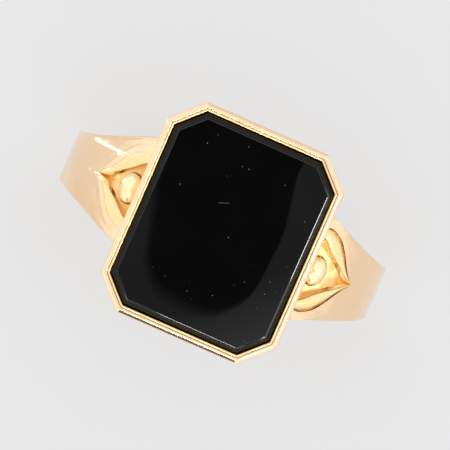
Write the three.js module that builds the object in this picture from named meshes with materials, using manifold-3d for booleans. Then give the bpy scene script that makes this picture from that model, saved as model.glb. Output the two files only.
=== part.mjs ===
// A signet ring: a bevelled octagonal onyx tablet in a rubbed-over gold collet, on flared, carved shoulders.
// Units are millimetres. The origin is the centre of the finger hole, +Y runs along the finger,
// +Z points out of the stone's table, and the two shoulders lie towards +X and -X.
import * as THREE from 'three';
import { mergeVertices } from 'three/addons/utils/BufferGeometryUtils.js';
import Module from 'manifold-3d';

const wasm = await Module();
wasm.setup();

// Band
const fingerRadius = 8.5;
const bandOuterRadius = 9.9;
const bandDrop = 0.15; // the band's outer circle sits this much higher, so the back of the band is thinner
const sideHalfWidth = 1.7; // the band's half width where the finger hole is widest
const backHalfWidth = 1.2; // and at the back of the finger
const colletHalfWidth = 3.2; // and where the shoulders meet the collet
const jointHalf = 0.08; // half of the space between shank and shoulder
const solderFilm = 0.1;

// Stone
const stoneHalf = { x: 5.0, y: 6.0, cut: 1.46 };
const tableZ = 12.2;
const stoneBottomZ = 10.53;
const girdleTopZ = 11.8;
const crownBevel = 0.38; // how far the bevel under the table runs out to the girdle
const underBevel = 0.1;

// Collet
const colletHalf = { x: 5.41, y: 6.44, cut: 1.7 };
const rimZ = 12.0;
const rimBevel = 0.17; // the bevel round the outside of the rim
const rimBevelZ = 11.86;
const lipReach = 0.1; // how far the lip is rubbed in over the stone's bevel
const lipZ = 11.93;
const wallBendZ = 10.7; // the wall stands almost upright above this level
const wallBendInset = 0.08;
const seatZ = 10.5;
const wallThickness = 0.42;
const coveZ = 9.2; // the wall draws in between the seat and this level
const coveInset = 0.56;
const footZ = 6.0; // a level below the whole head, where cutters end
const footInset = 0.68;
const galleryRadius = 9.08; // the plate under the head is bent round the finger
const galleryFilmRadii = [9.1, 9.18];
const wallFootRadius = 9.2;
const galleryOpening = { x: 3.1, y: 4.1, cut: 1.1 };
const bearerOpening = { x: 3.85, y: 4.88, cut: 1.2 };
const bearerDepth = 0.9;
const bearerSolder = 0.28;
const fitGap = 0.03;
const stoneGap = 0.02;

// Shoulders: the outer edge seen along the finger, from the widest point of the band up to the collet
const shoulderEdge = [
  [9.9, 0], [9.78, 2.6], [9.2, 5.1], [8.15, 7.0], [6.75, 8.5], [5.3, 9.5], [4.2, 10.0],
];
const shoulderInnerX = 4.2;
const edgeSteps = 18;
const colletSideX = 5.2; // where the shoulder's top runs under the collet
const ridgeHalfWidth = 2.03; // outside this ridge a side facet falls away, wider and wider towards the collet
const facetSlope = 0.45;

// Carving on each shoulder: a leaf-shaped recess with a bead in it, pointing down the band
const leafTipX = 8.15;
const leafOutline = {
  lobe: 0.38,
  waist: 0.72,
  waistWidth: 0.58,
  neckWidth: 0.2,
  cheekWidth: 0.86,
  bend: 0.35,
};
const petalDepth = 0.3;
const petalHalfWidth = 2.4;
const wellTipX = 7.9;
const wellHalfWidth = 1.65;
const wellDepthAtTip = 0.3;
const wellDepthAtCollet = 1.25;
const beadRadius = 0.74;
const beadStretch = 1.26; // the bead is a little longer along the finger
const beadCentre = { x: 5.68, z: 8.78 };

const reach = 16; // longer than anything it cuts
const arcSteps = 40;
const leafSteps = 5;

// Solids from three.js geometry

function solidOf(geometry) {
  geometry.deleteAttribute('normal');
  geometry.deleteAttribute('uv');
  const merged = mergeVertices(geometry, 1e-5);
  const vertProperties = new Float32Array(merged.attributes.position.array);
  const triVerts = new Uint32Array(merged.index.array);
  return new wasm.Manifold(new wasm.Mesh({ numProp: 3, vertProperties, triVerts }));
}

function geometryOf(solid) {
  const mesh = solid.getMesh();
  const geometry = new THREE.BufferGeometry();
  geometry.setAttribute('position', new THREE.BufferAttribute(new Float32Array(mesh.vertProperties), 3));
  geometry.setIndex(new THREE.BufferAttribute(new Uint32Array(mesh.triVerts), 1));
  geometry.computeVertexNormals();
  return geometry;
}

// A prism centred on the origin: the outline's first number runs along X (or Y when along is 'x'),
// its second along Z (or Y when along is 'z').
function prism(outline, along, depth) {
  const listed = Array.isArray(outline);
  const shape = listed ? new THREE.Shape(outline.map(([a, b]) => new THREE.Vector2(a, b))) : outline;
  const geometry = new THREE.ExtrudeGeometry(shape, { depth, bevelEnabled: false, curveSegments: edgeSteps });
  geometry.translate(0, 0, -depth / 2);
  if (along === 'y') geometry.rotateX(Math.PI / 2);
  if (along === 'x') {
    const turn = new THREE.Matrix4().makeBasis(
      new THREE.Vector3(0, 1, 0), new THREE.Vector3(0, 0, 1), new THREE.Vector3(1, 0, 0),
    );
    geometry.applyMatrix4(turn);
  }
  return geometry;
}

// An octagon's walls follow one profile of [offset, z] points: four symmetric prisms, one for each pair of
// opposite walls, cut each other to the body.
function octagonBody(half, profile) {
  const diagonal = (half.x + half.y - half.cut) / Math.SQRT2;
  const walls = [[half.x, 0], [half.y, Math.PI / 2], [diagonal, Math.PI / 4], [diagonal, -Math.PI / 4]];
  let body = null;
  for (const [distance, angle] of walls) {
    const right = profile.map(([offset, z]) => [distance + offset, z]);
    const left = profile.map(([offset, z]) => [-distance - offset, z]).reverse();
    const geometry = prism([...right, ...left], 'y', 2 * reach);
    geometry.rotateZ(angle);
    const slab = solidOf(geometry);
    body = body ? body.intersect(slab) : slab;
  }
  return body;
}

function fingerCylinder(radius) {
  return solidOf(new THREE.CylinderGeometry(radius, radius, 2 * reach, 2 * arcSteps));
}

function blockBetween(zLow, zHigh) {
  const block = new THREE.BoxGeometry(2 * reach, 2 * reach, zHigh - zLow);
  block.translate(0, 0, (zLow + zHigh) / 2);
  return solidOf(block);
}

// Collet, seat and stone

// The collet's outer face, let out by a gap where something stands against it
function colletOutside(gap) {
  return octagonBody(colletHalf, [
    [gap - footInset, footZ],
    [gap - coveInset, coveZ],
    [gap - wallBendInset, wallBendZ],
    [gap, rimBevelZ],
    [gap - rimBevel, rimZ],
  ]);
}

const stoneRoom = { x: stoneHalf.x + stoneGap, y: stoneHalf.y + stoneGap, cut: stoneHalf.cut };

// The hollow of the collet, or less than that by a gap where something stands inside it
function colletInside(gap) {
  const coveIn = coveInset + wallThickness - (colletHalf.x - stoneRoom.x);
  const footIn = footInset + wallThickness - (colletHalf.x - stoneRoom.x);
  return octagonBody(stoneRoom, [
    [-footIn - gap, footZ],
    [-coveIn - gap, coveZ],
    [-gap, seatZ + fitGap],
    [-gap, girdleTopZ],
    [-gap - lipReach, lipZ],
    [-gap - lipReach, tableZ],
  ]);
}

function makeColletWall() {
  return colletOutside(0).subtract(colletInside(0)).subtract(fingerCylinder(wallFootRadius));
}

function makeBearer() {
  const opening = octagonBody(bearerOpening, [[0, seatZ - reach / 2], [0, seatZ + reach / 2]]);
  return colletInside(fitGap).intersect(blockBetween(seatZ - bearerDepth, seatZ)).subtract(opening);
}

function makeBearerSolder() {
  const top = seatZ - bearerDepth - fitGap;
  const ring = colletInside(fitGap).intersect(blockBetween(top - bearerSolder, top));
  return ring.subtract(colletInside(fitGap + bearerSolder));
}

function makeGallery() {
  const opening = octagonBody(galleryOpening, [[0, footZ], [0, rimZ]]);
  const shell = fingerCylinder(galleryRadius).subtract(fingerCylinder(fingerRadius));
  return shell.intersect(colletOutside(0)).subtract(opening);
}

function makeGallerySolder() {
  const [inner, outer] = galleryFilmRadii;
  const shell = fingerCylinder(outer).subtract(fingerCylinder(inner));
  return shell.intersect(colletOutside(0)).subtract(colletInside(0));
}

function makeStone() {
  return octagonBody(stoneHalf, [
    [-underBevel, stoneBottomZ],
    [0, stoneBottomZ + underBevel],
    [0, girdleTopZ],
    [-crownBevel, tableZ],
  ]);
}

// Shoulders

const edgeCurve = new THREE.SplineCurve(shoulderEdge.map(([x, z]) => new THREE.Vector2(x, z)));
const edgePoints = edgeCurve.getPoints(edgeSteps);

// The edge curve moved in towards the finger, as a region open to the outside
function regionOutside(depthAt) {
  const inner = edgePoints.map((point, i) => {
    const before = edgePoints[Math.max(i - 1, 0)];
    const after = edgePoints[Math.min(i + 1, edgePoints.length - 1)];
    const along = new THREE.Vector2().subVectors(after, before).normalize();
    const depth = depthAt(point.x);
    return [point.x - along.y * depth, point.y + along.x * depth];
  });
  const corners = [[reach, 0], [reach, reach], [shoulderInnerX, reach], ...inner.reverse()];
  return solidOf(prism(corners, 'y', reach));
}

// A leaf outline seen from above: full at the collet, then drawn in to a point on the middle line
function leafPrism(tipX, halfWidth) {
  const { lobe, waist, waistWidth, neckWidth, cheekWidth, bend } = leafOutline;
  const start = shoulderInnerX;
  const lobeX = THREE.MathUtils.lerp(start, tipX, lobe);
  const waistX = THREE.MathUtils.lerp(start, tipX, waist);
  const shape = new THREE.Shape();
  shape.moveTo(start, -halfWidth);
  shape.lineTo(lobeX, -halfWidth);
  shape.quadraticCurveTo(waistX - bend, -halfWidth * cheekWidth, waistX, -halfWidth * waistWidth);
  shape.quadraticCurveTo(waistX + bend, -halfWidth * neckWidth, tipX, 0);
  shape.quadraticCurveTo(waistX + bend, halfWidth * neckWidth, waistX, halfWidth * waistWidth);
  shape.quadraticCurveTo(waistX - bend, halfWidth * cheekWidth, lobeX, halfWidth);
  shape.lineTo(start, halfWidth);
  const cut = { depth: reach, bevelEnabled: false, curveSegments: leafSteps };
  return solidOf(new THREE.ExtrudeGeometry(shape, cut));
}

function carveLeaf(blank) {
  const petals = leafPrism(leafTipX, petalHalfWidth).intersect(regionOutside(() => petalDepth));
  const wellDepth = (x) => {
    const t = THREE.MathUtils.clamp((wellTipX - x) / (wellTipX - colletHalf.x), 0, 1);
    return wellDepthAtTip + (wellDepthAtCollet - wellDepthAtTip) * t;
  };
  const well = leafPrism(wellTipX, wellHalfWidth).intersect(regionOutside(wellDepth));
  const seat = solidOf(beadBall(beadRadius + fitGap));
  return blank.subtract(petals).subtract(well).subtract(seat);
}

function makeShoulderBlank() {
  const side = new THREE.Shape();
  side.setFromPoints(edgePoints);
  side.lineTo(shoulderInnerX, Math.sqrt(fingerRadius ** 2 - shoulderInnerX ** 2));
  side.absarc(0, 0, fingerRadius, Math.acos(shoulderInnerX / fingerRadius), 0, true);
  const flare = (colletHalfWidth - sideHalfWidth) / (bandOuterRadius - colletSideX);
  const flank = edgePoints.map((point) => {
    const halfWidth = sideHalfWidth + flare * (bandOuterRadius - point.x); // straight when seen from above
    return [halfWidth, point.y - facetSlope * Math.max(0, halfWidth - ridgeHalfWidth)];
  });
  const otherFlank = flank.map(([y, z]) => [-y, z]).reverse();
  let blank = solidOf(prism(side, 'y', reach));
  blank = blank.intersect(solidOf(prism([...flank, ...otherFlank], 'x', 2 * reach)));
  const edge = edgePoints.map((point) => [point.x, point.y]);
  const underEdge = [...edge, [shoulderInnerX, -reach], [bandOuterRadius, -reach]];
  for (const sign of [1, -1]) {
    // all that lies under the edge, falling outwards from the ridge
    const fall = new THREE.Matrix4();
    fall.elements[6] = -sign * facetSlope;
    fall.elements[14] = facetSlope * ridgeHalfWidth;
    blank = blank.intersect(solidOf(prism(underEdge, 'y', reach).applyMatrix4(fall)));
  }
  return blank.subtract(blockBetween(-reach, jointHalf));
}

function beadBall(radius) {
  const ball = new THREE.SphereGeometry(radius, 20, 12);
  ball.scale(1, beadStretch, 1);
  ball.translate(beadCentre.x, 0, beadCentre.z);
  return ball;
}

const carvedShoulder = carveLeaf(makeShoulderBlank());

function makeShoulder() {
  return carvedShoulder.subtract(colletOutside(2 * fitGap + solderFilm));
}

function makeColletSolder() {
  return carvedShoulder.intersect(colletOutside(fitGap + solderFilm)).subtract(colletOutside(fitGap));
}

// Shank

function makeShank() {
  const hoop = new THREE.Shape();
  hoop.absarc(0, bandDrop, bandOuterRadius, 0, 2 * Math.PI, true);
  const hole = new THREE.Path();
  hole.absarc(0, 0, fingerRadius, 0, 2 * Math.PI, false);
  hoop.holes.push(hole);
  const sweep = { depth: reach, bevelEnabled: false, curveSegments: 2 * arcSteps };
  const ring = new THREE.ExtrudeGeometry(hoop, sweep);
  ring.translate(0, 0, -reach / 2);
  ring.rotateX(Math.PI / 2);
  const top = [sideHalfWidth, 0];
  const bottom = [backHalfWidth, bandDrop - bandOuterRadius];
  const taper = prism([bottom, top, [-top[0], 0], [-bottom[0], bottom[1]]], 'x', 2 * reach);
  return solidOf(ring).intersect(solidOf(taper)).subtract(blockBetween(-jointHalf, reach));
}

function makeShankSolder() {
  const thickness = bandOuterRadius - fingerRadius;
  const film = new THREE.BoxGeometry(thickness - 2 * fitGap, 2 * (sideHalfWidth - fitGap), solderFilm);
  film.translate(fingerRadius + thickness / 2, 0, 0);
  return solidOf(film);
}

// Assembly

const gold = { color: 0xe9c48a, roughness: 0.18, metalness: 1.0 };
const solder = { color: 0xe2c489, roughness: 0.3, metalness: 1.0 };
const onyx = { color: 0x070708, roughness: 0.06, metalness: 0.0 };

function piece(name, solid, finish) {
  const material = new THREE.MeshStandardMaterial(finish);
  const mesh = new THREE.Mesh(geometryOf(solid), material);
  mesh.name = name;
  return mesh;
}

const ring = new THREE.Group();

const head = new THREE.Group();
head.add(piece('onyx_tablet', makeStone(), onyx));
head.add(piece('collet_wall', makeColletWall(), gold));
head.add(piece('bearer_ledge', makeBearer(), gold));
head.add(piece('gallery_plate', makeGallery(), gold));
head.add(piece('solder_bearer', makeBearerSolder(), solder));
head.add(piece('solder_gallery', makeGallerySolder(), solder));
ring.add(head);

// The two sides are the same pieces, turned half round the finger hole's upright axis
for (const [side, turn] of [['right', 0], ['left', Math.PI]]) {
  const flank = new THREE.Group();
  flank.rotation.z = turn;
  flank.add(piece(`shoulder_${side}`, makeShoulder(), gold));
  flank.add(piece(`bead_${side}`, solidOf(beadBall(beadRadius)), gold));
  flank.add(piece(`solder_collet_${side}`, makeColletSolder(), solder));
  flank.add(piece(`solder_shank_${side}`, makeShankSolder(), solder));
  ring.add(flank);
}

ring.add(piece('shank', makeShank(), gold));

export default ring;
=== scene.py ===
import bpy
import bmesh
import math
from mathutils import Matrix, Vector, noise


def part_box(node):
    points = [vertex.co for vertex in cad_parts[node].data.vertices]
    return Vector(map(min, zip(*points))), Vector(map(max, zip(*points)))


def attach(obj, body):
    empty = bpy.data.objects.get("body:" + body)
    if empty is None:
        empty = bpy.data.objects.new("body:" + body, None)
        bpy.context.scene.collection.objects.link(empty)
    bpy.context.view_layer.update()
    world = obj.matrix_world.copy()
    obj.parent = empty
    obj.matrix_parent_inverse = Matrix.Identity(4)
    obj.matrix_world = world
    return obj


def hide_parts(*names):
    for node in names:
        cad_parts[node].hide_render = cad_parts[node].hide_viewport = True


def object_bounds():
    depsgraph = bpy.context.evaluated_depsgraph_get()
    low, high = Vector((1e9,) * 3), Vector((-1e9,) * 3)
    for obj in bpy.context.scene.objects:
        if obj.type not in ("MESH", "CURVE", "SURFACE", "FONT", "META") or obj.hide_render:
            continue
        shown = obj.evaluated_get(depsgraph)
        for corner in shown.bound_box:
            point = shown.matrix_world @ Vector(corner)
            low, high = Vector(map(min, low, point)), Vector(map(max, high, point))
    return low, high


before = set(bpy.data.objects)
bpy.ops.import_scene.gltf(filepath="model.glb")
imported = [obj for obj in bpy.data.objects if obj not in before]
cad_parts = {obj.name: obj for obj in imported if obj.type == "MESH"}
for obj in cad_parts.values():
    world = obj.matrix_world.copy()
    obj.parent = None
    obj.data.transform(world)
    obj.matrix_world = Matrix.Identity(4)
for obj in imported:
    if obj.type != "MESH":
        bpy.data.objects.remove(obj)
cadBox = [list(corner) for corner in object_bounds()]
print("frame loaded:", len(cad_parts), "nodes")

# The pieces are modelled in millimetres and shrunk to metres when they are finished.
mm = 0.001


def boxInMm(node):
    low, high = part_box(node)
    return low / mm, high / mm


stoneLow, stoneHigh = boxInMm("onyx_tablet")
colletHigh = boxInMm("collet_wall")[1]
galleryHigh = boxInMm("gallery_plate")[1]
shankLow, shankHigh = boxInMm("shank")
bearerLow, bearerHigh = boxInMm("bearer_ledge")
beadLow, beadHigh = boxInMm("bead_right")

# sizes that every gold piece shares
band = {
    "fingerRadius": 8.5,
    "outerRadius": shankHigh.x,
    "drop": shankLow.z + shankHigh.x,   # the outer circle sits this much higher than the finger hole
    "sideHalf": shankHigh.y,            # half width where the hole is widest
    "backHalf": 1.2,
    "outerRound": 0.15,
    "innerRound": 0.2,
    "crown": 0.04,
    "jointHalf": 0.08,
    "shankSteps": 110,
    "skew": (0.0245, 0.008),   # the shoulders were set a little askew
    # how much wider each flank is by the head and then at the band, first for y < 0, then for y > 0
    "pinchLeft": ((0.03, -0.075), (0.055, -0.06)),
    "pinchRight": ((0.0, 0.0), (0.03, -0.075)),
}


# helpers for meshes

def smooth(t):
    t = max(0.0, min(1.0, t))
    return t * t * (3 - 2 * t)


def mix(a, b, t):
    return a + (b - a) * t


# a soft curve through a few (x, value) points, flat beyond its ends
def alongPoints(points, x):
    if x <= points[0][0]:
        return points[0][1]
    if x >= points[-1][0]:
        return points[-1][1]
    i = 0
    while points[i + 1][0] < x:
        i += 1

    def slope(j):
        low, high = max(j - 1, 0), min(j + 1, len(points) - 1)
        return (points[high][1] - points[low][1]) / (points[high][0] - points[low][0])

    (x0, y0), (x1, y1) = points[i], points[i + 1]
    width = x1 - x0
    t = (x - x0) / width
    rise = y0 * (1 + 2 * t) * (1 - t) ** 2 + y1 * t * t * (3 - 2 * t)
    return rise + width * (slope(i) * t * (1 - t) ** 2 - slope(i + 1) * t * t * (1 - t))


# a grid whose rows are the sections, sewn along its seam and capped where it's still open
def tubeThrough(sections):
    around = len(sections[0])
    bm = bmesh.new()
    bmesh.ops.create_grid(bm, x_segments=around, y_segments=len(sections) - 1, size=1.0)
    # two vertex masks: painted shade on gold and a glint mask on the stone; painted bounce tint on gold
    # and a dull mask on the stone
    shadeAndGlint, depth = bm.verts.layers.float.new("shadeAndGlint"), bm.verts.layers.float.new("recess")
    bm.verts.ensure_lookup_table()
    for row, section in enumerate(sections):
        for column in range(around + 1):
            vert = bm.verts[row * (around + 1) + column]
            vert.co, vert[shadeAndGlint], vert[depth] = section[column % around]
    bmesh.ops.remove_doubles(bm, verts=bm.verts, dist=0.0004)
    ends = [edge for edge in bm.edges if edge.is_boundary]
    if ends:
        bmesh.ops.holes_fill(bm, edges=ends, sides=0)
    return bm


def makeAskew(place):
    reach = abs(place.x)
    pinches = band["pinchRight" if place.x > 0 else "pinchLeft"][place.y > 0]
    pinch = mix(*pinches, smooth((reach - 5.8) / 3.4))
    place.y *= 1 + pinch * smooth((reach - 1.0) / 4.0)
    place.y += band["skew"][place.x > 0] * reach


def finishPiece(bm, name, node, material, sharpAngle=35, turn=0.0, onBand=False):
    bmesh.ops.remove_doubles(bm, verts=bm.verts, dist=0.0004)
    bmesh.ops.recalc_face_normals(bm, faces=bm.faces)
    bmesh.ops.rotate(bm, verts=bm.verts, matrix=Matrix.Rotation(turn, 3, "Z"))
    if onBand:
        for vert in bm.verts:
            makeAskew(vert.co)
    bmesh.ops.scale(bm, verts=bm.verts, vec=(mm, mm, mm))
    mesh = bpy.data.meshes.new(name)
    bm.to_mesh(mesh)
    bm.free()
    mesh.shade_smooth()
    mesh.set_sharp_from_angle(angle=math.radians(sharpAngle))
    mesh.materials.append(material)
    piece = bpy.data.objects.new(name, mesh)
    bpy.context.scene.collection.objects.link(piece)
    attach(piece, "root")
    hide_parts(node)
    return piece


# materials

def newMaterial(name):
    material = bpy.data.materials.new(name)
    material.use_nodes = True
    tree = material.node_tree
    shader = tree.nodes["Principled BSDF"]
    coords = tree.nodes.new("ShaderNodeTexCoord")
    inMm = tree.nodes.new("ShaderNodeMapping")
    inMm.inputs["Scale"].default_value = (1 / mm, 1 / mm, 1 / mm)
    tree.links.new(coords.outputs["Object"], inMm.inputs["Vector"])
    return material, tree, shader, inMm.outputs["Vector"]


def addNoise(tree, vector, scale, detail, rough=0.5, distortion=0.0):
    texture = tree.nodes.new("ShaderNodeTexNoise")
    texture.inputs["Scale"].default_value = scale
    texture.inputs["Detail"].default_value = detail
    texture.inputs["Roughness"].default_value = rough
    texture.inputs["Distortion"].default_value = distortion
    tree.links.new(vector, texture.inputs["Vector"])
    return texture.outputs["Fac"]


def addStretch(tree, vector, scale, turn):
    mapping = tree.nodes.new("ShaderNodeMapping")
    mapping.inputs["Scale"].default_value = scale
    mapping.inputs["Rotation"].default_value = turn
    tree.links.new(vector, mapping.inputs["Vector"])
    return mapping.outputs["Vector"]


def addRange(tree, value, fromLow, fromHigh, toLow, toHigh):
    ranged = tree.nodes.new("ShaderNodeMapRange")
    ranged.inputs["From Min"].default_value = fromLow
    ranged.inputs["From Max"].default_value = fromHigh
    ranged.inputs["To Min"].default_value = toLow
    ranged.inputs["To Max"].default_value = toHigh
    tree.links.new(value, ranged.inputs["Value"])
    return ranged.outputs["Result"]


# a brightness that goes through (value, brightness) stops
def addRamp(tree, value, low, high, stops):
    curve = tree.nodes.new("ShaderNodeFloatCurve")
    points = curve.mapping.curves[0].points
    span = high - low
    for place, level in stops[1:-1]:
        points.new((place - low) / span, level / 2)
    points[0].location = (0.0, stops[0][1] / 2)
    points[-1].location = (1.0, stops[-1][1] / 2)
    curve.mapping.update()
    tree.links.new(addRange(tree, value, low, high, 0.0, 1.0), curve.inputs["Value"])
    return addMath(tree, "MULTIPLY", curve.outputs["Value"], 2.0)


def addMath(tree, operation, *values):
    calc = tree.nodes.new("ShaderNodeMath")
    calc.operation = operation
    for socket, value in zip(calc.inputs, values):
        if isinstance(value, (int, float)):
            socket.default_value = value
        else:
            tree.links.new(value, socket)
    return calc.outputs["Value"]


def addMix(tree, factor, first, second):
    blend = tree.nodes.new("ShaderNodeMix")
    blend.data_type = "RGBA"
    if isinstance(factor, float):
        blend.inputs[0].default_value = factor
    else:
        tree.links.new(factor, blend.inputs[0])
    for socket, value in ((blend.inputs[6], first), (blend.inputs[7], second)):
        if isinstance(value, tuple):
            socket.default_value = (*value, 1.0)
        else:
            tree.links.new(value, socket)
    return blend.outputs[2]


# small dots, one in a few of the cells of a coarse pattern
def addSpecks(tree, vector, scale, size, rarity):
    cells = tree.nodes.new("ShaderNodeTexVoronoi")
    cells.inputs["Scale"].default_value = scale
    tree.links.new(vector, cells.inputs["Vector"])
    dot = addRange(tree, cells.outputs["Distance"], size * 0.6, size, 1.0, 0.0)
    rare = tree.nodes.new("ShaderNodeSeparateColor")
    tree.links.new(cells.outputs["Color"], rare.inputs["Color"])
    some = addRange(tree, rare.outputs["Red"], rarity, rarity + 0.25, 0.0, 1.0)
    return addMath(tree, "MULTIPLY", dot, some)


def addBump(tree, height, distance, normal=None):
    bump = tree.nodes.new("ShaderNodeBump")
    bump.inputs["Strength"].default_value = 1.0
    bump.inputs["Distance"].default_value = distance * mm
    tree.links.new(height, bump.inputs["Height"])
    if normal is not None:
        tree.links.new(normal, bump.inputs["Normal"])
    return bump.outputs["Normal"]


def makeGold(name, finish):
    material, tree, shader, inMm = newMaterial(name)
    broad = addNoise(tree, inMm, finish["broadScale"], 2.0)
    tint = addMix(tree, addRange(tree, broad, 0.35, 0.65, 0.0, 1.0), finish["warm"], finish["pale"])
    # painted shade: a vertex mask darkens the gold towards a dark brown in grooves, crevices and the
    # collet's seat, standing in for shadow; real pits use the same colour
    shadeMask = tree.nodes.new("ShaderNodeAttribute")
    shadeMask.attribute_name = "shadeAndGlint"
    sunk = tree.nodes.new("ShaderNodeAttribute")
    # painted reflection: a second vertex mask tints the carved leaf, its hollow and the collet's seat
    # yellower and deeper orange, standing in for light bounced between the gold walls
    sunk.attribute_name = "recess"
    tint = addMix(tree, addRange(tree, sunk.outputs["Fac"], 0.0, 0.5, 0.0, 1.0), tint, finish["carved"])
    tint = addMix(tree, addRange(tree, sunk.outputs["Fac"], 0.5, 1.0, 0.0, 1.0), tint, finish["recess"])
    pits = addSpecks(tree, inMm, finish["pitScale"], finish["pitSize"], finish["pitRarity"])
    pits = addMath(tree, "MULTIPLY", pits, finish["pitDarkness"])
    dark = addMath(tree, "MAXIMUM", shadeMask.outputs["Fac"], pits)
    pitsAndShade = addMix(tree, dark, tint, finish["shadeAndGlint"])
    tree.links.new(pitsAndShade, shader.inputs["Base Color"])
    shader.inputs["Metallic"].default_value = 1.0
    smear = addNoise(tree, inMm, finish["smearScale"], 4.0, 0.6)
    gloss = addRange(tree, smear, 0.3, 0.7, *finish["roughness"])
    carvedGloss = addMath(tree, "MULTIPLY", sunk.outputs["Fac"], finish["carvedRough"])
    gloss = addMath(tree, "ADD", gloss, carvedGloss)
    gloss = addMath(tree, "ADD", gloss, addMath(tree, "MULTIPLY", dark, finish["shadeAndPitRough"]))
    tree.links.new(gloss, shader.inputs["Roughness"])
    # wear from handling: two sets of hairlines, then the slow waviness of hand polishing
    hairA = addNoise(tree, addStretch(tree, inMm, (2.0, 30.0, 6.0), (0.0, 0.0, 0.5)), 1.0, 5.0, 0.7)
    hairB = addNoise(tree, addStretch(tree, inMm, (26.0, 3.0, 8.0), (0.3, 0.0, -0.4)), 1.0, 4.0, 0.7)
    linesA = addRange(tree, hairA, 0.55, 0.75, 0.0, 1.0)
    linesB = addRange(tree, hairB, 0.58, 0.75, 0.0, 1.0)
    hairs = addMath(tree, "ADD", linesA, linesB)
    waves = addNoise(tree, inMm, finish["waveScale"], 1.0)
    normal = addBump(tree, waves, finish["waveHeight"])
    normal = addBump(tree, hairs, finish["hairHeight"], normal)
    tree.links.new(normal, shader.inputs["Normal"])
    return material


goldFinish = {
    "warm": (0.98, 0.685, 0.425),
    "pale": (0.985, 0.735, 0.48),
    # the colour of the painted shade, which the pits share
    "shadeAndGlint": (0.11, 0.07, 0.03),
    "carved": (0.94, 0.73, 0.38),     # painted reflection: carved places are tinted yellower and deep hollows deeper orange, standing in for light bounced between gold walls
    "recess": (0.88, 0.57, 0.24),
    "pitScale": 1.3,
    "pitSize": 0.05,
    "pitRarity": 0.62,
    "pitDarkness": 0.45,
    "carvedRough": 0.16,     # how much duller the carved places are, and the places with painted shade and pits
    "shadeAndPitRough": 0.25,
    "broadScale": 0.45,
    "smearScale": 1.6,
    "roughness": (0.1, 0.2),
    "waveScale": 1.1,
    "waveHeight": 0.012,
    "hairHeight": 0.0006,
}
solderFinish = dict(goldFinish, warm=(0.9, 0.71, 0.47), pale=(0.93, 0.77, 0.55), roughness=(0.22, 0.36))
# the beads get a yellower copy of the gold: a painted reflection of the gold walls around them
beadBounceTintFinish = dict(goldFinish, warm=(1.0, 0.8, 0.43), pale=(1.0, 0.84, 0.52), roughness=(0.16, 0.26))
# for the gallery and the ledge under the stone, which were left less polished
wornFinish = dict(goldFinish, roughness=(0.16, 0.3), hairHeight=0.0012)


def makeOnyx(name, look):
    material, tree, shader, inMm = newMaterial(name)
    specks = addSpecks(tree, inMm, look["speckScale"], look["speckSize"], look["speckRarity"])
    # one short scratch on the table
    local = tree.nodes.new("ShaderNodeMapping")
    local.vector_type = "TEXTURE"
    local.inputs["Location"].default_value = look["scratchAt"]
    local.inputs["Rotation"].default_value = (0.0, 0.0, look["scratchTurn"])
    tree.links.new(inMm, local.inputs["Vector"])
    split = tree.nodes.new("ShaderNodeSeparateXYZ")
    tree.links.new(local.outputs["Vector"], split.inputs["Vector"])
    aside = addMath(tree, "ABSOLUTE", split.outputs["Y"])
    ahead = addMath(tree, "ABSOLUTE", split.outputs["X"])
    across = addRange(tree, aside, 0.0, look["scratchWidth"], 1.0, 0.0)
    length = addRange(tree, ahead, look["scratchHalf"] * 0.6, look["scratchHalf"], 1.0, 0.0)
    scratch = addMath(tree, "MULTIPLY", across, length)
    scratch = addMath(tree, "MULTIPLY", scratch, look["scratchStrength"])
    marks = addMath(tree, "MAXIMUM", specks, scratch)
    depth = addNoise(tree, inMm, 0.25, 2.0)
    body = addMix(tree, addRange(tree, depth, 0.35, 0.65, 0.0, 1.0), look["dark"], look["deep"])
    tree.links.new(addMix(tree, marks, body, look["dust"]), shader.inputs["Base Color"])
    haze = addNoise(tree, inMm, 2.5, 3.0)
    polish = addRange(tree, haze, 0.3, 0.75, *look["roughness"])
    polish = addMath(tree, "ADD", polish, addMath(tree, "MULTIPLY", marks, look["markRough"]))
    tree.links.new(polish, shader.inputs["Roughness"])
    shader.inputs["IOR"].default_value = look["ior"]
    edge = tree.nodes.new("ShaderNodeAttribute")
    edge.attribute_name = "recess"
    shine = addRange(tree, edge.outputs["Fac"], 0.0, 1.0, 0.5, look["bevelShine"])
    chamfer = tree.nodes.new("ShaderNodeAttribute")
    chamfer.attribute_name = "shadeAndGlint"
    glint = addMath(tree, "MULTIPLY", chamfer.outputs["Fac"], 0.5)
    tree.links.new(addMath(tree, "ADD", shine, glint), shader.inputs["Specular IOR Level"])
    tree.links.new(addBump(tree, marks, look["markRelief"]), shader.inputs["Normal"])
    return material


onyxLook = {
    "dark": (0.0016, 0.0016, 0.0018),
    "deep": (0.0026, 0.0024, 0.0024),
    "dust": (0.13, 0.13, 0.14),
    "ior": 1.54,
    "roughness": (0.0, 0.02),
    "bevelShine": 0.18,      # the ground bevel is duller than the polished table
    "speckScale": 2.2,
    "speckSize": 0.075,
    "speckRarity": 0.55,
    "scratchAt": (-0.6, 1.61, stoneHigh.z),
    "scratchTurn": 0.37,
    "scratchHalf": 0.4,
    "scratchWidth": 0.014,
    "scratchStrength": 0.7,
    "markRough": 0.4,
    "markRelief": 0.002,
}

gold = makeGold("polishedGold", goldFinish)
solder = makeGold("goldSolder", solderFinish)
wornGold = makeGold("wornGold", wornFinish)
beadGoldBounceTint = makeGold("beadGoldBounceTint", beadBounceTintFinish)
onyx = makeOnyx("blackOnyx", onyxLook)
print("materials made")


# the octagonal pieces of the head

octagon = {
    "cornerSteps": 6,       # faces in each rounded corner
    "endCuts": 18,          # faces along the short sides, where the head bends round the finger
    "sideCuts": 22,
    "cornerCuts": 6,
    "hold": 0.03,           # support loops keep a bend this narrow
    "seatCut": 1.46,        # how much the corners of the stone's seat are cut off
    "seatFit": 0.02,        # its outline stands this far outside the ledge's box, and every row is inset
}


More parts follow.
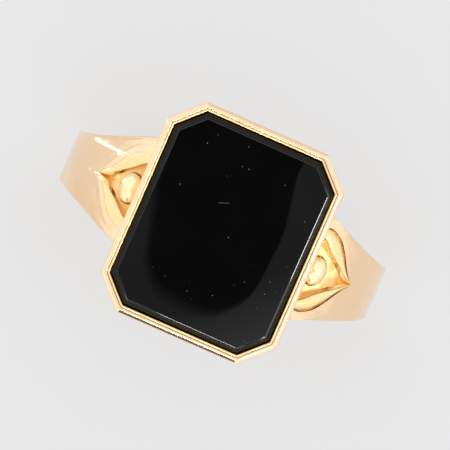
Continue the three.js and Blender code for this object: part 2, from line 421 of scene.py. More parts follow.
# points round a rectangle with cut and rounded corners, brought in all round by inset
def octagonRing(half, inset, z, radius):
    x, y = half["x"] - inset, half["y"] - inset
    cut = half["cut"] - inset * (2 - math.sqrt(2))
    quarter = [(x, y - cut), (x - cut, y)]
    left = [(-px, py) for px, py in reversed(quarter)]
    upper = quarter + left
    corners = [Vector((px, py, z)) for px, py in upper] + [Vector((-px, -py, z)) for px, py in upper]
    reach = radius * math.tan(math.pi / 8)
    ring = []
    for i, corner in enumerate(corners):
        back = (corners[i - 1] - corner).normalized() * reach
        run = corners[(i + 1) % 8] - corner
        ahead = run.normalized() * reach
        for step in range(octagon["cornerSteps"]):
            t = step / octagon["cornerSteps"]
            ring.append(corner + back * (1 - t) ** 2 + ahead * t * t)
        count = octagon[("cornerCuts", "endCuts", "cornerCuts", "sideCuts")[i % 4]]
        for step in range(count):
            ring.append(corner + ahead + (run - 2 * ahead) * (step / count))
    return ring


# adds a row close to each end of every long step, so that smooth shading turns only at the bends
def withHolds(rows, closed):
    held = []
    steps = list(zip(rows, rows[1:] + rows[:1]))
    if not closed:
        steps = steps[:-1]
    for one, other in steps:
        held.append(one)
        length = math.hypot(other[0] - one[0], other[1] - one[1])
        if length > 4 * octagon["hold"]:
            for t in (octagon["hold"] / length, 1 - octagon["hold"] / length):
                held.append(tuple(mix(a, b, t) for a, b in zip(one, other)))
    held.append(rows[0] if closed else rows[-1])
    return held


# a skin over octagons given as (inset, height, painted shade on gold and glint on the stone, painted
# bounce tint on gold and dullness on the stone), which heightOf may bend
def octagonBody(half, rows, closed, heightOf=None, cornerOf=None):
    sections = []
    rows = [(*row, 0.0, 0.0)[:4] for row in rows]
    for inset, z, shadeGlintLevel, warm in withHolds(rows, closed):
        ring = octagonRing(half, inset, z, cornerOf(inset) if cornerOf else 0.1)
        if heightOf:
            for place in ring:
                place.z = heightOf(place)
        sections.append([(place, shadeGlintLevel, warm) for place in ring])
    return tubeThrough(sections)


def roundFinger(place):
    # the height given is a distance from the finger's axis
    return math.sqrt(place.z ** 2 - place.x ** 2)


stone = {
    # 0.05 smaller all round than the cad stone, so that it clears the lip when it's turned
    "half": {"x": stoneHigh.x - 0.05, "y": stoneHigh.y - 0.05, "cut": 1.45},
    "bevel": 0.35,
    "girdle": stoneHigh.z - 0.4,
    "arris": 0.07,       # the polished edges have a fine chamfer
    "corner": 0.05,
    "crispX": 4.4,
    "crispY": -5.4,
    "turn": math.radians(-0.35),   # it sits a hair askew in its setting
}


def makeStone():
    a, bevel, girdle = stone["arris"], stone["bevel"], stone["girdle"]
    top, low = stoneHigh.z, stoneLow.z
    slope = (top - girdle) / bevel
    rows = [
        (0.1, low), (0.0, low + 0.1),
        (0.0, girdle - a), (a * 0.3, girdle + a * 0.3, 0.0, 1.0),
        (bevel - a * 0.55, top - a * 0.55 * slope, 0.0, 1.0),
        (bevel - a * 0.45, top - a * 0.42, 1.0, 0.0),
        (bevel + a * 0.45, top - a * 0.04, 1.0, 0.0), (bevel + a * 0.6, top), (bevel + 0.2, top),
    ]
    bm = octagonBody(stone["half"], rows, False, cornerOf=lambda inset: stone["corner"])
    # only the edges towards +x and -y kept their crisp chamfer
    glint, dull = bm.verts.layers.float["shadeAndGlint"], bm.verts.layers.float["recess"]
    for vert in bm.verts:
        if vert[glint] > 0 and vert.co.x < stone["crispX"] and vert.co.y > stone["crispY"]:
            vert[glint], vert[dull] = 0.0, 1.0
    bmesh.ops.poke(bm, faces=[face for face in bm.faces if len(face.verts) > 4])
    bmesh.ops.rotate(bm, verts=bm.verts, matrix=Matrix.Rotation(stone["turn"], 3, "Z"))
    return finishPiece(bm, "onyxStone", "onyx_tablet", onyx, sharpAngle=60)


collet = {
    "half": {"x": colletHigh.x, "y": colletHigh.y, "cut": 1.7},
    "foot": 9.2,           # the wall stands on the gallery, this far from the finger's axis
    "flatFoot": 9.0,
    "footInset": 0.6,
    "outside": [(0.54, 9.35), (0.44, 9.7), (0.28, 10.15), (0.14, 10.5), (0.07, 10.8), (0.03, 11.3)],
    "inside": [(0.41, 11.8), (0.4, 10.6), (0.5, 10.3), (0.95, 9.35)],
    "hands": 0.022,        # how uneven the hand-rubbed rim is
}


def makeCollet():
    top = colletHigh.z
    footRows = [(collet["footInset"], collet["flatFoot"], 0.0), (1.0, collet["flatFoot"], 0.0)]
    rim = [
        # the side turns into the outer bevel
        (0.0, top - 0.2, 0.0), (0.005, top - 0.15, 0.0), (0.03, top - 0.11, 0.0),
        (0.16, top - 0.025, 0.0), (0.2, top - 0.006, 0.0), (0.24, top, 0.0),      # top of the rim
        (0.28, top - 0.003, 0.0), (0.31, top - 0.016, 0.0),
        # where the lip was rubbed down; its small groove carries a line of painted shade, and painted
        # bounce tint deepens inward
        (0.335, top - 0.05, 0.2, 0.3), (0.35, top - 0.07, 0.75, 0.5), (0.365, top - 0.066, 0.35, 0.6),
        (0.39, top - 0.052, 0.0, 0.6), (0.425, top - 0.05, 0.0, 0.6), (0.46, top - 0.062, 0.0, 0.7),
        (0.485, top - 0.085, 0.0, 0.8), (0.5, top - 0.12, 0.4, 1.0),
    ]
    outside = [(*row, 0.0) for row in collet["outside"]]
    # painted shade and painted bounce tint on the inside of the seat, under the stone
    inside = [(*row, 0.4, 1.0) for row in collet["inside"]]
    rows = [footRows[0], *outside, *rim, *inside, footRows[1]]

    def cornerOf(inset):
        return max(0.06, 0.42 - 0.75 * inset)

    def standOnGallery(place):
        # the rows of the wall are squeezed up evenly from a foot that bends with the gallery
        foot = math.sqrt(collet["foot"] ** 2 - place.x ** 2)
        share = (place.z - collet["flatFoot"]) / (top - collet["flatFoot"])
        return place.z if share > 0.7 else mix(foot, mix(collet["flatFoot"], top, 0.7), share / 0.7)

    bm = octagonBody(collet["half"], rows, True, standOnGallery, cornerOf)
    for vert in bm.verts:
        if vert.co.z > top - 0.45:
            wave = noise.noise(vert.co * 0.55) * collet["hands"]
            ripple = noise.noise(vert.co * 1.9 + Vector((7.0, 0.0, 0.0))) * collet["hands"] * 0.45
            out = Vector((vert.co.x, vert.co.y, 0.0)).normalized()
            vert.co -= out * (abs(wave) + abs(ripple)) * 0.6
            vert.co.z -= abs(ripple) * 0.4
    return finishPiece(bm, "colletWall", "collet_wall", gold, sharpAngle=70)


def makeGallery():
    inner, outer = band["fingerRadius"], galleryHigh.z
    edge, window = collet["footInset"], 2.3
    rows = [(edge + 0.04, inner)]
    for t in (0.2, 0.4, 0.6, 0.8):
        rows.append((mix(edge, window, t), inner))
    rows += [(window - 0.06, inner), (window, inner + 0.06)]
    rows += [(window, outer - 0.06), (window - 0.06, outer)]
    for t in (0.8, 0.6, 0.4, 0.2):
        rows.append((mix(edge, window, t), outer))
    rows += [(edge + 0.04, outer), (edge, outer - 0.05), (edge, inner + 0.05)]
    bm = octagonBody(collet["half"], rows, True, roundFinger, lambda inset: 0.2)
    return finishPiece(bm, "galleryPlate", "gallery_plate", wornGold)


# the outline of the stone's seat, which the ledge and its solder share
def seatHalf():
    fit = octagon["seatFit"]
    return {"x": bearerHigh.x + fit, "y": bearerHigh.y + fit, "cut": octagon["seatCut"]}


def makeBearer():
    top, low = bearerHigh.z, bearerLow.z
    half = seatHalf()
    rows = [
        (0.05, top - 0.06), (0.1, top), (1.06, top), (1.12, top - 0.05),
        (1.12, low + 0.05), (1.06, low), (0.5, low), (0.44, low + 0.05),
    ]
    bm = octagonBody(half, rows, True)
    return finishPiece(bm, "bearerLedge", "bearer_ledge", wornGold)


def makeBearerSolder():
    low = bearerLow.z
    half = seatHalf()
    rows = [
        (0.44, low - 0.01), (0.74, low - 0.01), (0.64, low - 0.07),
        (0.585, low - 0.15), (0.56, low - 0.27), (0.53, low - 0.28),
    ]
    bm = octagonBody(half, rows, True)
    return finishPiece(bm, "bearerSolder", "solder_bearer", solder)


def makeGallerySolder():
    foot, plate, edge = collet["foot"], galleryHigh.z, collet["footInset"]
    middle = (foot + plate) / 2
    rows = [(edge + 0.03, plate - 0.005), (edge - 0.012, middle), (edge + 0.03, foot + 0.005),
            (0.98, foot + 0.005), (1.03, middle), (0.98, plate - 0.005)]
    bm = octagonBody(collet["half"], rows, True, roundFinger, lambda inset: 0.2)
    return finishPiece(bm, "gallerySolder", "solder_gallery", solder)


makeStone()
makeCollet()
makeGallery()
makeBearer()
makeBearerSolder()
makeGallerySolder()
print("head made")


# the carved shoulders

shoulder = {
    # the outer line, seen along the finger
    "edge": [(9.9, 0.0), (9.78, 2.6), (9.2, 5.1), (8.15, 7.0), (6.75, 8.5), (5.3, 9.5), (4.2, 10.0)],
    "endX": 5.03,          # where the top runs in under the collet
    "innerEndX": 4.88,
    "colletHalf": 3.2,     # half width there
    "flareFrom": 5.2,
    "facetSlope": 0.45,
    "plainStations": 26,
    "leafStations": 116,
    "leafFrom": 8.75,
}

# The leaf, seen from above: x runs from the collet to the tip, y is the half width
leaf = {
    "tip": 8.15,
    "outline": [
        (5.0, 2.16), (5.35, 2.4), (5.7, 2.5), (6.1, 2.37), (6.55, 2.05),
        (7.0, 1.47), (7.3, 0.97), (7.56, 0.57), (7.85, 0.23), (8.15, 0.0),
    ],
    "inner": [
        (5.0, 1.98), (5.6, 1.83), (6.25, 1.25), (6.8, 0.82),
        (7.1, 0.64), (7.45, 0.36), (7.8, 0.14), (8.15, 0.0),
    ],
    "wallWidth": 0.2,
    "outerDepth": [(5.0, 0.12), (6.3, 0.15), (7.0, 0.12), (7.6, 0.06), (8.15, 0.0)],
    "innerDepth": [(5.0, 0.27), (6.3, 0.25), (7.0, 0.18), (7.6, 0.08), (8.15, 0.0)],
    "floorDepth": [(5.0, 1.12), (5.7, 1.06), (6.3, 0.92), (7.0, 0.64), (7.6, 0.34), (8.15, 0.0)],
    "vee": 0.7,            # the hollow ends in a v-shaped cut
    "groove": 0.04,        # width of the graver's line round the outside
    "lipAt": 0.22,
    "lipWidth": 0.13,
    "chevron": 0.75,       # slope of the lip's point past the tip
    "columns": {"floor": 10, "wall": 7, "petal": 14, "groove": 4, "lip": 9, "field": 9, "facet": 10},
    "least": 0.004,
    "probe": 0.05,         # the slope of the outline is taken over this length
}
# the right leaf is cut crisply, the left one is worn or less finished; the right leaf's groove and petal
# edges also carry far more painted shade
leafCuts = {
    "Right": {
        "groove": 0.05, "grooveShade": 0.68, "outer": 1.0, "bulge": 0.12, "lip": 0.004,
        "petalBounceTint": 0.5, "petalEdgeShade": 0.85, "length": 1.0, "spread": 1.0,
        "ridge": 2.03, "ridgeSoft": 0.1,
    },
    "Left": {
        "groove": 0.0, "grooveShade": 0.1, "outer": 0.3, "bulge": 0.05, "lip": 0.03,
        "petalBounceTint": 0.5, "petalEdgeShade": 0.1, "length": 0.91, "spread": 0.86,
        "ridge": 1.62, "ridgeSoft": 0.1,
    },
}


def edgePoint(u):
    points = shoulder["edge"]
    last = len(points) - 1
    position = u * last
    i = min(int(position), last - 1)
    t = position - i
    p0, p1 = Vector(points[max(i - 1, 0)]), Vector(points[i])
    p2, p3 = Vector(points[i + 1]), Vector(points[min(i + 2, last)])
    v0, v1 = (p2 - p0) * 0.5, (p3 - p1) * 0.5
    return (2 * p1 - 2 * p2 + v0 + v1) * t ** 3 + (-3 * p1 + 3 * p2 - 2 * v0 - v1) * t * t + v0 * t + p1


# the place along the edge where x (axis 0, falling) or z (axis 1, rising) has a value
def whereOnEdge(value, axis):
    low, high = 0.0, 1.0
    for step in range(40):
        middle = (low + high) / 2
        passed = edgePoint(middle)[axis] < value if axis == 0 else edgePoint(middle)[axis] > value
        if passed:
            high = middle
        else:
            low = middle
    return (low + high) / 2


def halfWidthAt(x):
    flare = (shoulder["colletHalf"] - band["sideHalf"]) / (band["outerRadius"] - shoulder["flareFrom"])
    return band["sideHalf"] + flare * (band["outerRadius"] - x)


def facetDrop(y, cut):
    # the side facets fall away outside the ridge
    past = abs(y) - cut["ridge"]
    return shoulder["facetSlope"] * 0.5 * (past + math.hypot(past, cut["ridgeSoft"]))


# (y, depth, painted shade, painted bounce tint) from the middle line out to edgeStart
def leafColumns(x, edgeStart, cut):
    least, columns, tip = leaf["least"], leaf["columns"], leaf["tip"]
    x = shoulder["endX"] + (x - shoulder["endX"]) / cut["length"]
    innerHalf = max(alongPoints(leaf["inner"], x) * cut["spread"], least * 4)
    floorHalf = innerHalf - min(leaf["wallWidth"], innerHalf / 2)
    outlineHalf = max(alongPoints(leaf["outline"], x) * cut["spread"], innerHalf + least * 3)
    fade = smooth((tip - x) / 0.7)
    near = smooth((tip - x) / 0.25)
    grooveEnd = outlineHalf + max(leaf["groove"] * fade, least * 2)
    lipEnd = grooveEnd + 0.42
    facetStart = max(min(cut["ridge"] - 0.15, edgeStart - 0.3), lipEnd + 0.1)
    floorDepth = alongPoints(leaf["floorDepth"], x)
    vee = leaf["vee"] * smooth((x - 6.3) / 1.3)
    footDepth = floorDepth * (1 - vee) * 0.97
    innerDepth = min(alongPoints(leaf["innerDepth"], x), footDepth)
    outerDepth = alongPoints(leaf["outerDepth"], x) * cut["outer"]
    deepest = outerDepth + cut["groove"] * fade
    nextX = x + leaf["probe"]
    bend = -leaf["chevron"]
    if nextX < tip:
        bend = (alongPoints(leaf["outline"], nextX) - alongPoints(leaf["outline"], x)) / leaf["probe"]
    squash = 1 / math.hypot(1.0, bend)

    def lift(y):
        nominal = -leaf["chevron"] * (x - tip)
        if x < tip:
            nominal = alongPoints(leaf["outline"], x) * cut["spread"]
        away = (y - nominal) * squash - leaf["groove"] * fade
        return -cut["lip"] * math.exp(-((away - leaf["lipAt"]) / leaf["lipWidth"]) ** 2)

    spans = [
        ("floor", 0.0, floorHalf, lambda t, y: mix(floorDepth, footDepth, t)),
        ("wall", floorHalf, innerHalf, lambda t, y: mix(footDepth, innerDepth, t)),
        ("petal", innerHalf, outlineHalf,
         lambda t, y: mix(innerDepth, deepest, t) - cut["bulge"] * fade * math.sin(math.pi * t)),
        ("groove", outlineHalf, grooveEnd, lambda t, y: mix(deepest, 0.0, smooth(t)) + lift(y) * t),
        ("lip", grooveEnd, lipEnd, lambda t, y: lift(y)),
        ("field", lipEnd, facetStart, lambda t, y: lift(y)),
        ("facet", facetStart, edgeStart, lambda t, y: 0.0),
    ]
    made = []
    for name, start, end, depthAt in spans:
        count = columns[name]
        for step in range(count):
            t = step / count
            y = mix(start, end, t)
            shadeGlintLevel, warm = 0.0, 0.0
            # painted shade along the graver's groove, broken up by noise, and along the petals' inner
            # edge; painted bounce tint in the hollow and on the petals, fading out at the very tip
            if name == "groove":
                patchy = 0.8 + 0.7 * noise.noise(Vector((x * 2.3, y, 4.0)))
                shadeGlintLevel = fade * patchy * cut["grooveShade"] * (1 - t ** 3)
            elif name == "petal":
                shadeGlintLevel = fade * cut["petalEdgeShade"] * max(0.0, 1 - t * 10)
                warm = cut["petalBounceTint"] * near * min(1.0, 5 * (1 - t))
            elif name in ("floor", "wall"):
                warm = near
            made.append((y, depthAt(t, y), shadeGlintLevel, warm))
    return made


# points round one cross-section: from the top's middle line out, down the side and in again
def shoulderSection(u, cut, grow=0.0):
    x, z = edgePoint(u)
    outer = Vector((x, 0.0, z))
    endAngle = math.atan2(edgePoint(shoulderEnd)[1], shoulder["endX"])
    innerEnd = math.acos(shoulder["innerEndX"] / band["fingerRadius"])
    angle = math.atan2(z, x)
    innerAngle = angle - (endAngle - innerEnd) * (angle / endAngle) ** 3
    radius = band["fingerRadius"] - grow
    inner = Vector((radius * math.cos(innerAngle), 0.0, radius * math.sin(innerAngle)))
    half = halfWidthAt(x) + grow
    inward = (inner - outer).normalized()
    turnOut, turnIn = band["outerRound"], band["innerRound"]
    points = []
    for y, depth, shadeGlintLevel, warm in leafColumns(x, half - turnOut, cut):
        crown = band["crown"] * (y / half) ** 2 * smooth((x - 8.6) / 1.0)
        lift = Vector((0.0, y, grow - depth - facetDrop(y, cut)))
        points.append((outer + lift + inward * crown, shadeGlintLevel, warm))
    fall = facetDrop(half, cut)
    crown = band["crown"] * smooth((x - 8.6) / 1.0)
    for step in range(5):
        a = step / 4 * math.pi / 2
        y = half - turnOut + turnOut * math.sin(a)
        sunk = inward * (crown + turnOut * (1 - math.cos(a)))
        points.append((outer + Vector((0.0, y, -fall)) + sunk, 0.0, 0.0))
    high = points[-1][0]
    low = inner + Vector((0.0, half, 0.0)) - inward * turnIn
    for step in range(1, 6):
        points.append((high.lerp(low, step / 6), 0.0, 0.0))
    for step in range(6):
        a = step / 5 * math.pi / 2
        y = half - turnIn + turnIn * math.cos(a)
        points.append((inner + Vector((0.0, y, 0.0)) - inward * turnIn * (1 - math.sin(a)), 0.0, 0.0))
    for step in range(1, 7):
        points.append((inner + Vector((0.0, (half - turnIn) * (1 - step / 6), 0.0)), 0.0, 0.0))
    mirrored = []
    for place, shadeGlintLevel, warm in reversed(points[1:-1]):
        mirrored.append((Vector((place.x, -place.y, place.z)), shadeGlintLevel, warm))
    return points + mirrored


shoulderStart = whereOnEdge(band["jointHalf"] * 0.5, 1)
leafStart = whereOnEdge(shoulder["leafFrom"], 0)
shoulderEnd = whereOnEdge(shoulder["endX"], 0)


def makeShoulder(name, node, turn, cut):
    count = shoulder["plainStations"]
    stations = [mix(shoulderStart, leafStart, i / count) for i in range(count)]
    count = shoulder["leafStations"]
    stations += [mix(leafStart, shoulderEnd, i / count) for i in range(count + 1)]
    bm = tubeThrough([shoulderSection(u, cut) for u in stations])
    return finishPiece(bm, name, node, gold, sharpAngle=50, turn=turn, onBand=True)


# the run of solder between the end of a shoulder and the collet
def makeColletSolder(name, node, turn, cut):
    layers = []
    for shift, grow in ((0.0, -0.004), (-0.035, 0.012), (-0.1, -0.004)):
        section = shoulderSection(shoulderEnd, cut, grow)
        layers.append([(place + Vector((shift, 0.0, 0.0)), shadeGlintLevel, warm) for place, shadeGlintLevel, warm in section])
    return finishPiece(tubeThrough(layers), name, node, solder, turn=turn, onBand=True)


for side, turn in (("Right", 0.0), ("Left", math.pi)):
    makeShoulder("shoulder" + side, "shoulder_" + side.lower(), turn, leafCuts[side])
    makeColletSolder("colletSolder" + side, "solder_collet_" + side.lower(), turn, leafCuts[side])
print("shoulders made")


# beads

bead = {
    "radius": (beadHigh.x - beadLow.x) / 2,
    "centre": (beadHigh + beadLow) / 2,
    "squash": 0.97,
    "stretch": (beadHigh.y - beadLow.y) / (beadHigh.x - beadLow.x),
    "uneven": 0.012,
    "steps": 40,
    "profileSteps": 14,
    "waistAngle": math.radians(128),   # the ball runs this far from its top before the fillet starts
    "skirt": 0.12,
}


# a ball with a small fillet of metal where it meets the well's floor
def makeBead(name, node, turn):
    radius, centre = bead["radius"], bead["centre"]
    bm = bmesh.new()
    arc = []
    count = bead["profileSteps"]
    for step in range(count + 1):
        a = bead["waistAngle"] * step / count
        arc.append((radius * math.sin(a), radius * math.cos(a)))
    waist, low = arc[-1]
    foot = waist + bead["skirt"]
    arc += [(waist + 0.03, low - 0.05), (foot, low - 0.09), (foot, low - 0.14), (0.0, low - 0.14)]
    verts = [bm.verts.new((x, 0.0, z)) for x, z in arc]
    edges = [bm.edges.new(pair) for pair in zip(verts, verts[1:])]
    bmesh.ops.spin(
        bm, geom=verts + edges, cent=(0, 0, 0), axis=(0, 0, 1), angle=2 * math.pi,
        steps=bead["steps"], use_merge=True)
    bmesh.ops.scale(bm, verts=bm.verts, vec=(1.0, bead["stretch"], bead["squash"]))
    for vert in bm.verts:
        lump = noise.noise(vert.co * 1.3 + Vector((turn, 3.0, 0.0)))
        vert.co += vert.co.normalized() * lump * bead["uneven"]
    bmesh.ops.translate(bm, verts=bm.verts, vec=centre)
    return finishPiece(bm, name, node, beadGoldBounceTint, sharpAngle=50, turn=turn, onBand=True)


for side, turn in (("Right", 0.0), ("Left", math.pi)):
    makeBead("bead" + side, "bead_" + side.lower(), turn)
print("beads made")


# shank

# the band's section at the side of the hole: a flat quad with rounded corners and a slight crown
def bandSlice(bm, sideHalf):
    corners = bmesh.ops.create_grid(bm, x_segments=1, y_segments=1, size=0.5)["verts"]
    depth = band["outerRadius"] - band["fingerRadius"]
    bmesh.ops.scale(bm, verts=corners, vec=(depth, 2 * sideHalf, 1.0))
    bmesh.ops.translate(bm, verts=corners, vec=(band["fingerRadius"] + depth / 2, 0.0, 0.0))
    for outside, radius in ((True, band["outerRound"]), (False, band["innerRound"])):
        chosen = [vert for vert in bm.verts if (vert.co.x > band["fingerRadius"] + depth / 2) == outside]
        bmesh.ops.bevel(
            bm, geom=chosen, offset=radius, affect="VERTICES", segments=5, profile=0.5, material=-1)
    face = bm.faces[:][0]
    bmesh.ops.subdivide_edges(bm, edges=[edge for edge in face.edges if edge.calc_length() > 0.5], cuts=9)
    for vert in bm.verts:
        share = (vert.co.x - band["fingerRadius"]) / depth
        vert.co.x -= band["crown"] * (vert.co.y / sideHalf) ** 2 * max(share, 0.0) ** 4
    return face


# narrows and thins the band towards the back of the finger
def taperBand(bm):
    back = band["outerRadius"] - band["drop"]
    for vert in bm.verts:
        radius = math.hypot(vert.co.x, vert.co.z)
        sine, cosine = vert.co.z / radius, vert.co.x / radius
        outer = band["drop"] * sine + math.sqrt(band["outerRadius"] ** 2 - (band["drop"] * cosine) ** 2)
        thin = (outer - band["fingerRadius"]) / (band["outerRadius"] - band["fingerRadius"])
        place = band["fingerRadius"] + (radius - band["fingerRadius"]) * thin
        down = min(1.0, max(0.0, -vert.co.z / back))
        vert.co.x, vert.co.z = place * cosine, place * sine
        vert.co.y *= mix(1.0, band["backHalf"] / band["sideHalf"], down)


def makeShank():
    bm = bmesh.new()
    face = bandSlice(bm, band["sideHalf"])
    start = math.asin(band["jointHalf"] * 0.5 / band["fingerRadius"])
    bmesh.ops.rotate(bm, verts=bm.verts, matrix=Matrix.Rotation(start, 3, "Y"))
    bmesh.ops.spin(
        bm, geom=[face, *face.edges, *face.verts], cent=(0, 0, 0), axis=(0, 1, 0),
        angle=math.pi - 2 * start, steps=band["shankSteps"])
    taperBand(bm)
    return finishPiece(bm, "shankBand", "shank", gold, sharpAngle=50, onBand=True)


def makeShankSolder(name, node, turn):
    bm = bmesh.new()
    face = bandSlice(bm, band["sideHalf"])
    half = band["jointHalf"] * 0.6 / band["fingerRadius"]
    bmesh.ops.rotate(bm, verts=bm.verts, matrix=Matrix.Rotation(-half, 3, "Y"))
    bmesh.ops.spin(
        bm, geom=[face, *face.edges, *face.verts], cent=(0, 0, 0), axis=(0, 1, 0),
        angle=2 * half, steps=2)
    middle = Vector(((band["fingerRadius"] + band["outerRadius"]) / 2, 0.0, 0.0))
    for vert in bm.verts:
        if abs(vert.co.z) < 0.01:
            vert.co += (vert.co - middle).normalized() * 0.004
        vert.co.x -= 0.006
    return finishPiece(bm, name, node, solder, turn=turn, onBand=True)


makeShank()
for side, turn in (("Right", 0.0), ("Left", math.pi)):
    makeShankSolder("shankSolder" + side, "solder_shank_" + side.lower(), turn)
print("shank made")


# floor, lights and camera

studio = {
    "distance": 250.0,         # from the rim to the lens
    "fieldAtRim": 25.3,        # width of the view at the rim
    "leanX": math.radians(-1.07),
    "leanY": math.radians(1.9),
    "roll": math.radians(23.7),
    "offset": (-0.045, 0.494),
    "floorColor": (0.35, 0.35, 0.354),
    "floorGlow": 0.42,
    "floorRadius": 200.0,
    # brightness from below the horizon to overhead, and from in front (-y) to behind
    "skyByHeight": [
        (-1.0, 0.97), (-0.25, 0.98), (0.0, 0.97), (0.12, 1.14),
        (0.3, 1.18), (0.6, 1.12), (0.85, 1.25), (1.0, 1.3),
    ],
    "skyAlong": [
        (-1.0, 1.25), (-0.95, 1.25), (-0.86, 1.1), (-0.7, 1.0),
        (0.5, 1.0), (0.8, 0.95), (0.92, 0.75), (1.0, 0.55),
    ],
    "cardHeight": 185.0,       # a small ceiling card hangs this far above the stone
    "cardRadius": 24.0,
    "cardGlow": (0.24, 0.85),
    "cardGlowSpan": (18.0, 30.0),   # it brightens towards one corner over this distance
    "frontCardAt": (0.0, -66.0, 42.0),
    "frontCardSize": (24.0, 56.0),
}

# a dark opening in the card, which the stone's table mirrors
# its outline is given as it shows on the stone
opening = {
    "outline": [
        (-4.75, 7.5), (-4.7, 4.24), (-4.52, 1.13), (-4.13, 0.0), (-3.5, -2.55),
        (-2.83, -3.68), (-1.9, -4.35), (-0.57, -4.55), (0.7, -4.5), (1.7, -4.07),
        (2.83, -2.55), (3.11, 0.0), (3.11, 1.7), (2.55, 4.8), (2.38, 7.5),
    ],
    "softness": [0.3, 0.25, 0.25, 0.3, 0.3, 0.4, 0.45, 0.5, 0.4, 0.25, 0.08, 0.05, 0.05, 0.06, 0.08],
}


def plainMaterial(name, color, glow=0.0):
    material = bpy.data.materials.new(name)
    material.use_nodes = True
    shader = material.node_tree.nodes["Principled BSDF"]
    shader.inputs["Base Color"].default_value = (*color, 1.0)
    shader.inputs["Roughness"].default_value = 0.9
    shader.inputs["Specular IOR Level"].default_value = 0.0
    shader.inputs["Emission Color"].default_value = (1.0, 1.0, 1.0, 1.0)
    shader.inputs["Emission Strength"].default_value = glow
    return material


def makeFloor():
    bm = bmesh.new()
    bmesh.ops.create_circle(bm, cap_ends=True, radius=studio["floorRadius"] * mm, segments=96)
    bmesh.ops.translate(bm, verts=bm.verts, vec=(0.0, 0.0, cadBox[0][2]))
    mesh = bpy.data.meshes.new("floor")
    bm.to_mesh(mesh)
    bm.free()
    mesh.materials.append(plainMaterial("paleFloor", studio["floorColor"], studio["floorGlow"]))
    floor = bpy.data.objects.new("floor", mesh)
    bpy.context.scene.collection.objects.link(floor)


def makeSky():
    world = bpy.data.worlds.new("tent")
    world.use_nodes = True
    bpy.context.scene.world = world
    tree = world.node_tree
    background = tree.nodes["Background"]
    coords = tree.nodes.new("ShaderNodeTexCoord")
    split = tree.nodes.new("ShaderNodeSeparateXYZ")
    tree.links.new(coords.outputs["Generated"], split.inputs["Vector"])
    byHeight = addRamp(tree, split.outputs["Z"], -1.0, 1.0, studio["skyByHeight"])
    along = addRamp(tree, split.outputs["Y"], -1.0, 1.0, studio["skyAlong"])
    tree.links.new(addMath(tree, "MULTIPLY", byHeight, along), background.inputs["Strength"])
    background.inputs["Color"].default_value = (1.0, 1.0, 1.0, 1.0)


def cameraPlace():
    back = Vector((math.tan(studio["leanX"]), math.tan(studio["leanY"]), 1.0)).normalized()
    target = Vector((*studio["offset"], colletHigh.z))
    return target + back * studio["distance"], back


# light given off evenly, or from low to high across the card; it vanishes where the fade attribute is 0
def glowMaterial(name, low, high, fadeName=None):
    material = bpy.data.materials.new(name)
    material.use_nodes = True
    tree = material.node_tree
    tree.nodes.remove(tree.nodes["Principled BSDF"])
    output = tree.nodes["Material Output"]
    glow = tree.nodes.new("ShaderNodeEmission")
    coords = tree.nodes.new("ShaderNodeTexCoord")
    split = tree.nodes.new("ShaderNodeSeparateXYZ")
    tree.links.new(coords.outputs["Object"], split.inputs["Vector"])
    across = addMath(tree, "SUBTRACT", split.outputs["X"], split.outputs["Y"])
    start, end = studio["cardGlowSpan"]
    tree.links.new(addRange(tree, across, start * mm, end * mm, low, high), glow.inputs["Strength"])
    glow.inputs["Color"].default_value = (0.93, 0.95, 1.0, 1.0)
    if fadeName is None:
        tree.links.new(glow.outputs["Emission"], output.inputs["Surface"])
        return material
    clear = tree.nodes.new("ShaderNodeBsdfTransparent")
    blend = tree.nodes.new("ShaderNodeMixShader")
    fade = tree.nodes.new("ShaderNodeAttribute")
    fade.attribute_name = fadeName
    tree.links.new(fade.outputs["Fac"], blend.inputs["Fac"])
    tree.links.new(clear.outputs["BSDF"], blend.inputs[1])
    tree.links.new(glow.outputs["Emission"], blend.inputs[2])
    tree.links.new(blend.outputs["Shader"], output.inputs["Surface"])
    return material


def stageCard(bm, name, material):
    bmesh.ops.scale(bm, verts=bm.verts, vec=(mm, mm, mm))
    mesh = bpy.data.meshes.new(name)
    bm.to_mesh(mesh)
    bm.free()
    mesh.materials.append(material)
    card = bpy.data.objects.new(name, mesh)
    bpy.context.scene.collection.objects.link(card)
    card.visible_camera = False
    card.visible_shadow = False
    card.visible_diffuse = False


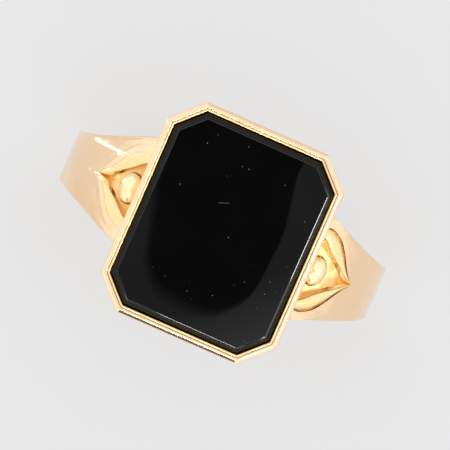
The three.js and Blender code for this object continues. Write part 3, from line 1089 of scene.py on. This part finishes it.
def makeCards():
    height = stoneHigh.z + studio["cardHeight"]
    place = cameraPlace()[0]
    stretch = studio["cardHeight"] / (place.z - stoneHigh.z)

    def mirrored(x, y, above):
        # where the table mirrors this point of itself to, as the camera sees it
        return Vector((x + (x - place.x) * stretch, y + (y - place.y) * stretch, above))

    bm = bmesh.new()
    bmesh.ops.create_circle(bm, cap_ends=True, radius=studio["cardRadius"], segments=48)
    bmesh.ops.translate(bm, verts=bm.verts, vec=mirrored(0.0, 0.0, height))
    stageCard(bm, "ceilingCard", glowMaterial("cardGlow", *studio["cardGlow"]))
    count = len(opening["outline"])
    middle = Vector((-0.8, 1.5))
    bm = bmesh.new()
    bmesh.ops.create_grid(bm, x_segments=6 * count, y_segments=3, size=1.0)
    fade = bm.verts.layers.float.new("fade")
    bm.verts.ensure_lookup_table()
    for column in range(6 * count + 1):
        i, t = divmod(column % (6 * count), 6)
        t = t / 6
        points = [Vector(opening["outline"][(i + k) % count]) for k in (-1, 0, 1, 2)]
        soft = mix(opening["softness"][i], opening["softness"][(i + 1) % count], t)
        bend = (points[2] - points[0]) * 0.5, (points[3] - points[1]) * 0.5
        straight = abs(points[1].y - points[2].y) < 1e-6
        edge = points[1].lerp(points[2], t) if straight else (
            points[1] * (1 + 2 * t) * (1 - t) ** 2 + points[2] * t * t * (3 - 2 * t)
            + bend[0] * t * (1 - t) ** 2 - bend[1] * t * t * (1 - t))
        out = (edge - middle).normalized()
        for row, (away, level) in enumerate(((None, 1.0), (-soft, 1.0), (0.0, 0.6), (soft, 0.0))):
            spot = middle if away is None else edge + out * away
            vert = bm.verts[row * (6 * count + 1) + column]
            vert.co = mirrored(spot.x, spot.y, height - 1.0)
            vert[fade] = level
    bmesh.ops.remove_doubles(bm, verts=bm.verts, dist=0.0004)
    stageCard(bm, "darkOpening", glowMaterial("openingDark", 0.02, 0.05, "fade"))


def makeFrontCard():
    # a narrow dark card that the front bevel of the rim mirrors
    bm = bmesh.new()
    bmesh.ops.create_grid(bm, x_segments=1, y_segments=1, size=1.0)
    width, height = studio["frontCardSize"]
    bmesh.ops.scale(bm, verts=bm.verts, vec=(width / 2, height / 2, 1.0))
    bmesh.ops.rotate(bm, verts=bm.verts, matrix=Matrix.Rotation(math.pi / 2, 3, "X"))
    bmesh.ops.translate(bm, verts=bm.verts, vec=studio["frontCardAt"])
    stageCard(bm, "frontCard", glowMaterial("frontDark", 0.14, 0.14))


def aimed(obj, place, target):
    obj.location = place
    obj.rotation_euler = (Vector(target) - Vector(place)).to_track_quat("-Z", "Y").to_euler()


def makeLight(name, place, size, brightness):
    lamp = bpy.data.lights.new(name, "AREA")
    lamp.shape = "RECTANGLE"
    lamp.size, lamp.size_y = size[0] * mm, size[1] * mm
    lamp.energy = brightness * math.pi * lamp.size * lamp.size_y
    light = bpy.data.objects.new(name, lamp)
    light.visible_diffuse = False
    bpy.context.scene.collection.objects.link(light)
    light.visible_camera = False
    aimed(light, Vector(place) * mm, (0.0, 0.0, min(place[2], colletHigh.z) * mm))
    return light


lamps = {
    # three small windows, for the glints on the fine chamfers of the stone and the rim
    "windowRight": {"place": (216.0, -6.0, 220.0), "size": (15.0, 60.0), "brightness": 22.0},
    "windowFront": {"place": (9.0, -216.0, 220.0), "size": (15.0, 60.0), "brightness": 22.0},
    "windowCorner": {"place": (156.0, -150.0, 220.0), "size": (15.0, 60.0), "brightness": 22.0},
    # a narrow reflector that draws the streak along the ridge of the left shoulder
    "streakLeft": {"place": (-36.0, 7.0, 0.5), "size": (2.2, 26.0), "brightness": 7.0},
}


def makeCamera():
    lens = bpy.data.cameras.new("camera")
    lens.sensor_width = 36.0
    lens.lens = lens.sensor_width * studio["distance"] / studio["fieldAtRim"]
    lens.clip_start = 0.01
    lens.clip_end = 10.0
    camera = bpy.data.objects.new("camera", lens)
    bpy.context.scene.collection.objects.link(camera)
    place, back = cameraPlace()
    right = Vector((math.cos(studio["roll"]), math.sin(studio["roll"]), 0.0))
    right = (right - back * right.dot(back)).normalized()
    up = back.cross(right)
    turn = Matrix((right, up, back)).transposed()
    camera.matrix_world = Matrix.Translation(place * mm) @ turn.to_4x4()
    bpy.context.scene.camera = camera
    return camera


makeFloor()
makeSky()
makeCards()
makeFrontCard()
for name, lamp in lamps.items():
    makeLight(name, **lamp)
makeCamera()
bpy.context.scene.view_settings.view_transform = "Standard"
print("studio made")
